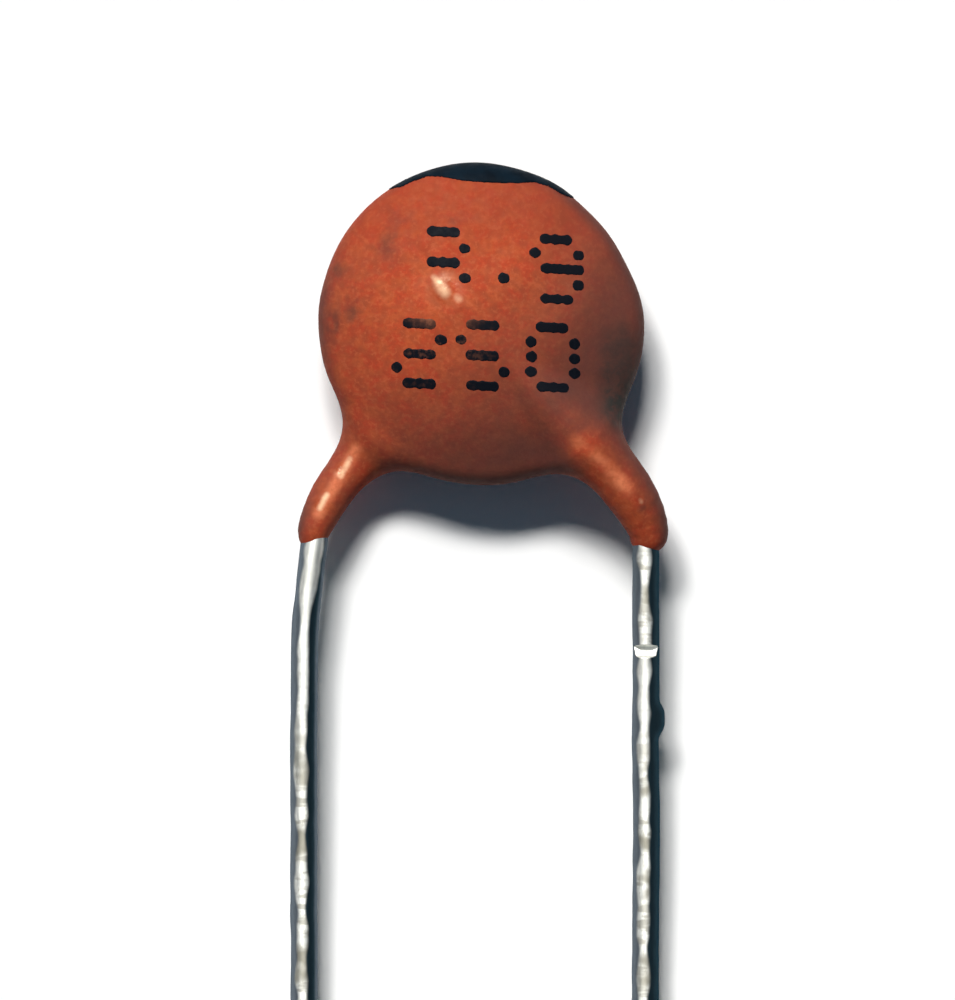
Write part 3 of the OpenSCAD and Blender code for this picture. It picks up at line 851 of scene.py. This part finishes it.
def tin_material():
    m = Material("tinned_copper")
    frost = m.noise(*FROST_NOISE)
    across = m.along(TO_RIGHT, m.facing)
    on_rear = m.fade(m.along(TO_RIGHT), *REAR_LEG_FADE)
    left, right = painted_flank_reflections(m, across, on_rear)
    patchy = m.fade(m.along(TO_TIP), *PATCHY_FADE)
    patchy = m.math("MAXIMUM", patchy, m.spot(*PATCHY_PLACE))
    drawn = m.fade(m.noise(*DRAWN_NOISE), *DRAWN_FADE)
    mottle = m.fade(m.noise(*MOTTLE_NOISE), *MOTTLE_FADE)
    colour = TIN_BRIGHT
    for share, shade in (
        (m.times(m.math("MAXIMUM", drawn, mottle), patchy), TIN_WORN),
        (m.times(m.fade(frost, *FROST_FADE), patchy), TIN_WORN),
        # Painted reflections: the dull and dark flanks, and the rear leg's dull right edge.
        (left, TIN_PAINTED_DULL),
        (right, TIN_PAINTED_DARK),
        (m.times(m.fade(across, *EDGE_FADE), on_rear), TIN_PAINTED_DULL),
        (m.fade(m.along(TO_FRONT, m.facing), *BELOW_FADE), TIN_WORN),
    ):
        colour = m.mix(share, colour, shade)
    lengthwise = m.add("ShaderNodeCombineXYZ", {"Y": 1.0}).outputs[0]
    rough = m.fade(frost, *TIN_ROUGH_FADE)
    return m.done(colour, rough, m.bump(frost, *TIN_BUMP), Tangent=lengthwise, **TIN_GLOSS)


METAL = {"tone": (6.0, 3.0, 0.6), "bump": ((25.0,), (0.4, 0.008)), "Metallic": 1.0}
METAL_NOISE = (18.0,)
SILVER_SHADES = (srgb(205, 205, 200), srgb(180, 178, 170))
SILVER_ROUGH = (0.4, 0.55)
SOLDER_SHADES = (srgb(170, 170, 168), srgb(140, 140, 138))
SOLDER_ROUGH = (0.3, 0.45)


def plain_metal(name, shades, rough_ends):
    return blended_material(name, shades, rough=(METAL_NOISE, rough_ends), **METAL)


CERAMIC_SHADES = (srgb(206, 186, 150), srgb(186, 164, 128))
CERAMIC_TONE = (9.0, 4.0, 0.6)
CERAMIC_ROUGH_FADE = (0.0, 1.0, 0.6, 0.75)
CERAMIC_NOISE = (30.0,)
CERAMIC_BUMP = (0.4, 0.006)


def ceramic_material():
    m = Material("titanate_ceramic")
    tone = m.fade(m.noise(*CERAMIC_TONE), *MIDDLE)
    normal = m.bump(m.noise(*CERAMIC_NOISE), *CERAMIC_BUMP)
    return m.done(m.mix(tone, *CERAMIC_SHADES), m.fade(tone, *CERAMIC_ROUGH_FADE), normal)


# ---- The coat ----

COAT_STEP = 0.06
COAT_LOW = (-3.6, -4.6, -1.35)
COAT_HIGH = (3.7, 3.25, 1.35)


def make_coat():
    points, faces = skin(coat_gap, COAT_LOW, COAT_HIGH, COAT_STEP)
    coat = add_mesh("dipped_coat", points, faces)
    coat.data.materials.append(coat_material())
    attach(coat, ROOT)
    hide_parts("coating")


# ---- The painted tip ----

# The paint's lower edge on the front, from left to right, in the picture's pixels.
TIP_EDGE = [
    (340, 150), (378, 184), (389, 190), (401, 188), (413, 182), (429, 177), (443, 178),
    (464, 182), (492, 184), (520, 184), (534, 183), (548, 187), (560, 194), (568, 198),
    (577, 199), (592, 190), (620, 160),
]
# The lower edge on the back: its height at the middle, and its rise to the right.
TIP_BACK_Y = 2.25
TIP_BACK_RISE = 0.02
# Where the front's edge has turned into the back's, going round the rim.
TIP_TURN = (-0.05, -0.6)
TIP_THICK = 0.015
TIP_SINK = 0.1
TIP_EDGE_SLOPE = 0.8
TIP_EDGE_ROUND = 0.03
TIP_STEP = 0.034
TIP_LOW = (-2.3, 1.9, -1.1)
TIP_HIGH = (2.3, 3.15, 1.1)


def tip_gap(p):
    """Distance from the painted film: close outside the coat, and above the paint's lower edge."""
    edge = np.array([from_px(*place) for place in TIP_EDGE])
    lower = np.interp(p[:, 0], edge[:, 0], edge[:, 1])
    away = smooth(*TIP_TURN, p[:, 2])
    lower = lower * (1 - away) + (TIP_BACK_Y + TIP_BACK_RISE * p[:, 0]) * away
    gap = disc_gap(p) + swell(p)
    film = np.maximum(gap - TIP_THICK, -gap - TIP_SINK)
    border = (lower - p[:, 1]) * TIP_EDGE_SLOPE
    return -melt(-border, -film, TIP_EDGE_ROUND)


def make_tip():
    points, faces = skin(tip_gap, TIP_LOW, TIP_HIGH, TIP_STEP)
    tip = add_mesh("painted_tip", points, faces)
    tip.data.materials.append(paint_material())
    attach(tip, ROOT)
    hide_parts("black_tip")


# ---- The print: plain numbers in dots ----

# Pitch of the dots, half size of a dot and slant of the lines, in the picture's pixels.
DOT_PITCH = (10.7, 15.0)
DOT_SIZE = (5.9, 6.0)
PRINT_TILT = 0.055
GLYPHS = {
    "rubbed 3": (".###.", "....#", ".###.", "....#", "....."),
    "9": (".###.", "#...#", ".####", "....#", ".###."),
    "2": (".###.", "....#", ".###.", "#....", ".###."),
    "5": (".###.", "#....", ".###.", "....#", ".###."),
    "0": (".###.", "#...#", "#...#", "#...#", ".###."),
    ".": ("#",),
}
# Each number, and the picture place of the first dot of its grid.
PRINT = [
    ("rubbed 3", 422, 232), (".", 504, 279), ("9", 535, 239),
    ("2", 398, 323), ("5", 461, 325), ("0", 531, 327),
]
# The print is uneven: spread of the sizes, shift in pixels, size and rates of the edges' waves, and
# share by which a run narrows between its dots. A run's end keeps a least share of its height.
PRINT_SEED = 3
SIZE_SPREAD = (0.94, 1.08)
DOT_SHIFT = 0.35
EDGE_WAVE = 0.05
EDGE_WAVE_RATES = (0.55, 0.9)
INK_SCALLOP = 0.08
INK_END_LEAST = 0.12
INK_END_COLUMNS = 13
INK_ROWS = 9
# How far the ink stands out of the coat and reaches into it, in millimetres.
INK_THICK = 0.005
INK_ROOT = 0.03
# The heights between which the coat's front is found by halving.
FRONT_RANGE = (0.2, 1.6)
HALVINGS = 18


def front_height(x, y):
    """Height of the coat's front over places given as arrays."""
    low, high = (np.full(len(x), z) for z in FRONT_RANGE)
    for _ in range(HALVINGS):
        mid = (low + high) / 2
        inside = coat_gap(np.stack([x, y, mid], axis=1)) < 0
        low = np.where(inside, mid, low)
        high = np.where(inside, high, mid)
    return low


def dot_runs():
    """Runs of dots that touch: start and end place of each, in pixels."""
    runs = []
    for glyph, x0, y0 in PRINT:
        for row, line in enumerate(GLYPHS[glyph]):
            for run in re.finditer("#+", line):
                ends = [x0 + column * DOT_PITCH[0] for column in (run.start(), run.end() - 1)]
                y = y0 + row * DOT_PITCH[1]
                runs.append([(x, y + PRINT_TILT * (x - x0)) for x in ends])
    return runs


def ink_grid(rng, start, end):
    """Picture places of a run of dots: columns along it, rows across it."""
    wide, tall = np.array(DOT_SIZE) * rng.uniform(*SIZE_SPREAD, 2)
    half = (end[0] - start[0]) / 2
    middle = np.add(start, end) / 2 + rng.normal(size=2) * DOT_SHIFT
    # Three shifts are drawn, one more than the edge has waves.
    shifts = rng.uniform(0, 2 * math.pi, 3)
    turns = np.linspace(-math.pi / 2, math.pi / 2, INK_END_COLUMNS)
    ends = wide * np.sin(turns)
    cap = np.cos(turns)
    between = max(2, int(half)) if half else 0
    stem = np.linspace(-half, half, between + 2)[1:-1]
    s = np.concatenate([ends[ends <= 0] - half, stem, ends[ends >= 0] + half])
    h = np.concatenate([cap[ends <= 0], np.ones(len(stem)), cap[ends >= 0]])
    h = np.maximum(h, INK_END_LEAST) * tall
    waist = 1 - INK_SCALLOP * (1 - np.cos(2 * math.pi * (s + half) / DOT_PITCH[0]))
    h = h * np.where(np.abs(s) < half, waist, 1)
    ripples = [np.sin(rate * s + shift) for rate, shift in zip(EDGE_WAVE_RATES, shifts)]
    h = h * (1 + EDGE_WAVE * sum(ripples))
    x = np.repeat((middle[0] + s)[:, None], INK_ROWS, axis=1)
    y = middle[1] + PRINT_TILT * s[:, None] + h[:, None] * np.linspace(-1, 1, INK_ROWS)[None, :]
    return x, y


def ink_points(x, y):
    """Points of one closed patch of ink: a top grid, and the same grid sunk into the coat."""
    flat_x, flat_y = from_px(x.ravel(), y.ravel())
    skin_z = front_height(flat_x, flat_y).reshape(x.shape)
    border = np.ones(x.shape, bool)
    border[1:-1, 1:-1] = False
    layers = (skin_z + np.where(border, -INK_THICK, INK_THICK), skin_z - INK_ROOT)
    return np.concatenate([np.stack([flat_x, flat_y, z.ravel()], axis=1) for z in layers])


def patch_faces(first, columns, rows):
    """Faces of a closed patch: its top grid, the grid under it, and the wall round both."""
    top = first + np.arange(columns * rows).reshape(columns, rows)
    under = top + columns * rows
    faces = []
    for i in range(columns - 1):
        for j in range(rows - 1):
            quad = [(i, j), (i, j + 1), (i + 1, j + 1), (i + 1, j)]
            faces.append([top[place] for place in quad])
            faces.append([under[place] for place in reversed(quad)])
    rim = [(i, 0) for i in range(columns)] + [(columns - 1, j) for j in range(1, rows)]
    rim += [(i, rows - 1) for i in range(columns - 2, -1, -1)]
    rim += [(0, j) for j in range(rows - 2, 0, -1)]
    for here, there in zip(rim, rim[1:] + rim[:1]):
        faces.append([top[here], top[there], under[there], under[here]])
    return faces


def make_print():
    rng = np.random.RandomState(PRINT_SEED)
    points, faces = [], []
    for start, end in dot_runs():
        x, y = ink_grid(rng, start, end)
        faces.extend(patch_faces(len(points), *x.shape))
        points.extend(ink_points(x, y))
    ink = add_mesh("printed_numbers", points, faces)
    ink.data.materials.append(ink_material())
    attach(ink, ROOT)


# ---- The leads ----

WIRE_STEP = 0.05
FINE_STEP = 0.012
BEND_STEPS = 14
WIRE_SIDES = 32
FRONT_SEED = 5
REAR_SEED = 11
# Waves along a wire have lengths and a size. A shift and a weight are drawn for each length.
WAVE_SHIFT_RANGE = (0, 6.3)
WAVE_WEIGHT_RANGE = (0.5, 1)
# The legs sway from the first height on, and fully from the second.
SWAY_HEIGHTS = (-3.9, -6.0)
SWAY = ((9.0, 5.2, 2.9), 0.02)
# The tin is slightly out of round, with one, two and three lobes.
LOBES = (1, 2, 3)
LOBE_TURN = ((6.0, 3.1), 2.0)
LOBE_SIZE = ((2.3, 1.1, 0.7), 0.006)
# The cut end is rounded off over this length, down to this share of the radius.
CUT_LENGTH = 0.12
CUT_SHARE = 0.86
# Marks on the front lead, in the picture: a nick filed into its top, which catches the light, and
# a dark solder pimple on its right, whose sizes are in millimetres and radians.
NICK_PX = (646.0, 655.5)
NICK_DEPTHS = (0.17, 0.1)
NICK_END = 0.03
PIMPLE_PX = 719.0
PIMPLE_HEIGHT = 0.11
PIMPLE_LENGTH = 0.27
PIMPLE_TURN = 0.55


def wire_path(corners, bends, fine=None):
    """Points along a wire through its corners, with round bends, and closer at a fine mark."""
    line = [corners[0]]
    for before, at, after, bend in zip(corners, corners[1:], corners[2:], bends):
        reach = bend_reach(before, at, after, bend)
        back, on = unit(before - at), unit(after - at)
        start, end = at + back * reach, at + on * reach
        turn = math.acos(np.clip(-back @ on, -1, 1))
        centre = at + unit(back + on) * math.hypot(reach, bend)
        across = unit(start - centre)
        ahead = unit(-back - across * (-back @ across))
        for t in np.linspace(0, turn, BEND_STEPS):
            line.append(centre + (across * math.cos(t) + ahead * math.sin(t)) * bend)
        line[-1] = end
    line.append(corners[-1])
    line = np.array(line)
    run = np.concatenate([[0], np.cumsum(np.linalg.norm(np.diff(line, axis=0), axis=1))])
    steps = np.linspace(0, run[-1], int(run[-1] / WIRE_STEP) + 1)
    if fine:
        low, high = (np.interp(from_px(0, place)[1], line[:, 1], run) for place in reversed(fine))
        close = np.arange(low - WIRE_STEP, high + WIRE_STEP, FINE_STEP)
        steps = np.union1d(steps[(steps < close[0]) | (steps > close[-1])], close)
    return np.stack([np.interp(steps, run, line[:, i]) for i in range(3)], axis=1)


def slow_noise(rng, places, lengths, size):
    total = np.zeros(len(places))
    for length in lengths:
        wave = np.sin(2 * math.pi * places / length + rng.uniform(*WAVE_SHIFT_RANGE))
        total += wave * rng.uniform(*WAVE_WEIGHT_RANGE)
    return total * size / len(lengths)


def nick_depth(y):
    """How far the top of the wire is cut away: a floor that slopes between two steep ends."""
    top, bottom = (from_px(0, place)[1] for place in NICK_PX)
    along = np.clip((y - bottom) / (top - bottom), 0, 1)
    floor = NICK_DEPTHS[1] + (NICK_DEPTHS[0] - NICK_DEPTHS[1]) * along
    above_top = np.clip(1 - (y - top) / NICK_END, 0, 1)
    below_bottom = np.clip(1 - (bottom - y) / NICK_END, 0, 1)
    return floor * above_top * below_bottom


def lead_radius(rng, y, turns, marks):
    """The wire's radius at each point of its path, for each turn round it."""
    radius = np.full((len(y), WIRE_SIDES), LEAD_R)
    for lobes in LOBES:
        phase = slow_noise(rng, y, *LOBE_TURN)
        much = slow_noise(rng, y, *LOBE_SIZE)
        radius += much[:, None] * np.cos(lobes * turns[None, :] + phase[:, None])
    if marks:
        along = ((y - from_px(0, PIMPLE_PX)[1]) / PIMPLE_LENGTH)[:, None]
        round_to = ((turns + math.pi) % (2 * math.pi) - math.pi)[None, :] / PIMPLE_TURN
        radius += PIMPLE_HEIGHT * np.exp(-(along**4) - round_to**2)
    cut = np.clip((y - LEGS_BOTTOM) / CUT_LENGTH, 0, 1)
    return radius * (CUT_SHARE + (1 - CUT_SHARE) * np.sqrt(1 - (1 - cut) ** 2))[:, None]


def tube_faces(rings):
    """Faces of a closed tube with this many rings."""
    faces = []
    for i in range(rings - 1):
        for s in range(WIRE_SIDES):
            a, b = i * WIRE_SIDES + s, i * WIRE_SIDES + (s + 1) % WIRE_SIDES
            faces.append([a, a + WIRE_SIDES, b + WIRE_SIDES, b])
    last = (rings - 1) * WIRE_SIDES
    faces.append(list(range(WIRE_SIDES)))
    faces.append([last + s for s in reversed(range(WIRE_SIDES))])
    return faces


def make_lead(name, node, corners, bends, seed, material, marks):
    rng = np.random.RandomState(seed)
    path = wire_path(corners, bends, NICK_PX if marks else None)
    y = path[:, 1]
    path[:, 0] += smooth(*SWAY_HEIGHTS, y) * slow_noise(rng, y, *SWAY)
    ahead = np.gradient(path, axis=0)
    ahead /= np.linalg.norm(ahead, axis=1)[:, None]
    aside = np.cross(ahead, TO_FRONT)
    aside /= np.linalg.norm(aside, axis=1)[:, None]
    above = np.cross(aside, ahead)
    turns = 2 * math.pi * np.arange(WIRE_SIDES) / WIRE_SIDES
    radius = lead_radius(rng, y, turns, marks)
    around = aside[:, None, :] * np.cos(turns)[None, :, None]
    around = around + above[:, None, :] * np.sin(turns)[None, :, None]
    spokes = around * radius[:, :, None]
    if marks:
        depth = nick_depth(y)[:, None]
        over = radius * np.sin(turns)[None, :] - (LEAD_R - depth)
        spokes -= above[:, None, :] * np.where(depth > 0, np.maximum(over, 0), 0)[:, :, None]
    points = (path[:, None, :] + spokes).reshape(-1, 3)
    lead = add_mesh(name, points, tube_faces(len(path)))
    lead.data.materials.append(material)
    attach(lead, ROOT)
    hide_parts(node)


# ---- Stage ----

# Direction of each key light and its share of the light.
KEYS = {"key_front": ((-0.08, 0.86, 1.0), 0.42), "key_side": ((-0.34, 0.80, 1.0), 0.58)}
KEY_WIDTH = 12.0
KEY_COLOUR = (1.0, 0.985, 0.96)
ROOM_COLOUR = (0.42, 0.71, 1.0, 1.0)
ROOM_LIGHT = 0.08
FLOOR_BOUNCE = (0.5, 0.5, 0.55, 1.0)
# The floor's half width and its gap under the part, in metres.
FLOOR_REACH = 1.5
FLOOR_GAP = 0.000004
BACKDROP_TOP = (0.1, 0.22, 1.0, 0.0)
PANEL_SIZE = (0.3, 0.5)
PANEL_PLACE = (-0.03, 0.0, 0.45)
PANEL_LIGHT = 0.77
CAMERA_DISTANCE = 0.3
CAMERA_CLIP = (0.01, 10.0)
LENS_SENSOR = 36.0


def seen_rays(tree):
    """1 for the rays that show the white surroundings: those of the camera, gloss and glass."""
    rays = tree.add("ShaderNodeLightPath").outputs
    total = rays["Is Camera Ray"]
    for name in ("Is Glossy Ray", "Is Transmission Ray"):
        total = tree.math("ADD", total, rays[name], clamp=True)
    return total


def make_stage(low):
    """A white table. It is greyer to stray light, so that the shadows stay deep."""
    mesh = bpy.data.meshes.new("floor")
    z = low.z - FLOOR_GAP
    signs = ((-1, -1), (1, -1), (1, 1), (-1, 1))
    corners = [(x * FLOOR_REACH, y * FLOOR_REACH, z) for x, y in signs]
    mesh.from_pydata(corners, [], [(0, 1, 2, 3)])
    floor = place_in_scene("floor", mesh)
    material = bpy.data.materials.new("white_table")
    material.use_nodes = True
    tree = Tree(material.node_tree)
    nodes = material.node_tree.nodes
    nodes.remove(nodes["Principled BSDF"])
    shade = tree.mix(seen_rays(tree), FLOOR_BOUNCE, WHITE)
    diffuse = tree.add("ShaderNodeBsdfDiffuse", {"Color": shade})
    tree.feed(nodes["Material Output"].inputs["Surface"], diffuse.outputs[0])
    mesh.materials.append(material)


def make_world():
    """A dim blue room. A white backdrop stands round it, which the camera and all gloss see."""
    world = bpy.data.worlds.new("studio")
    bpy.context.scene.world = world
    world.use_nodes = True
    world.node_tree.nodes.clear()
    tree = Tree(world.node_tree)
    place = tree.add("ShaderNodeTexCoord").outputs["Generated"]
    height = tree.add("ShaderNodeSeparateXYZ", {0: place}).outputs["Z"]
    white = tree.times(seen_rays(tree), tree.fade(height, *BACKDROP_TOP))
    room = tree.add("ShaderNodeBackground", {"Color": ROOM_COLOUR, "Strength": ROOM_LIGHT})
    backdrop = tree.add("ShaderNodeBackground", {"Color": WHITE})
    mix = tree.add("ShaderNodeMixShader", {0: white, 1: room.outputs[0], 2: backdrop.outputs[0]})
    tree.add("ShaderNodeOutputWorld", {"Surface": mix.outputs[0]})


def make_lights(target):
    """One wide key light made of two suns side by side, and a panel overhead for the gloss."""
    for name, (direction, share) in KEYS.items():
        sun = bpy.data.lights.new(name, "SUN")
        sun.energy = math.pi / unit(direction)[2] * share
        sun.angle = math.radians(KEY_WIDTH)
        sun.color = KEY_COLOUR
        key = place_in_scene(name, sun)
        key.rotation_mode = "QUATERNION"
        key.rotation_quaternion = Vector(direction).to_track_quat("Z", "Y")
    panel = bpy.data.lights.new("overhead", "AREA")
    panel.shape = "RECTANGLE"
    panel.size, panel.size_y = PANEL_SIZE
    panel.energy = PANEL_LIGHT * math.pi * panel.size * panel.size_y
    overhead = place_in_scene("overhead", panel)
    overhead.location = target + Vector(PANEL_PLACE)
    overhead.visible_diffuse = False
    overhead.visible_camera = False


def make_camera():
    """A camera straight above the part, which takes in the photograph's frame."""
    x, y = from_px(PHOTO_SIZE[0] / 2, PHOTO_SIZE[1] / 2)
    target = Vector((LAY_DOWN + np.array([x, y, 0.0])) * MM)
    data = bpy.data.cameras.new("camera")
    data.sensor_width = LENS_SENSOR
    data.lens = LENS_SENSOR * CAMERA_DISTANCE / (max(PHOTO_SIZE) / PX_PER_MM * MM)
    data.clip_start, data.clip_end = CAMERA_CLIP
    camera = place_in_scene("camera", data)
    camera.location = target + Vector((0, 0, CAMERA_DISTANCE))
    bpy.context.scene.camera = camera
    return target


# ---- Everything together ----

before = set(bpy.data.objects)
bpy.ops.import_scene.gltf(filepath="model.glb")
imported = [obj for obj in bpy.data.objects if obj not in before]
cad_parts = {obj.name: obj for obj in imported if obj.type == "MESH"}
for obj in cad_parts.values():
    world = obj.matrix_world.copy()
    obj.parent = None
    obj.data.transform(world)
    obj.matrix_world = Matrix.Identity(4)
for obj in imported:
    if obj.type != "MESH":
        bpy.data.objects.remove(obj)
low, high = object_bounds()
bpy.context.scene.view_settings.view_transform = "Standard"
target = make_camera()

make_coat()
make_tip()
make_print()
tin = tin_material()
front_bends = [KNEE_BEND_R, SEAT_BEND_R]
rear_bends = [SPLAY_BEND_R, *front_bends]
make_lead("front_wire", "front_lead", FRONT_CORNERS, front_bends, FRONT_SEED, tin, True)
make_lead("rear_wire", "rear_lead", REAR_CORNERS, rear_bends, REAR_SEED, tin, False)

silver = plain_metal("silvering", SILVER_SHADES, SILVER_ROUGH)
solder = plain_metal("solder", SOLDER_SHADES, SOLDER_ROUGH)
inner = {
    "ceramic_disc": ceramic_material(),
    "front_electrode": silver,
    "rear_electrode": silver,
    "front_solder": solder,
    "rear_solder": solder,
}
for node, material in inner.items():
    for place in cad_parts[node].material_slots:
        place.material = material

make_stage(low)
make_world()
make_lights(target)
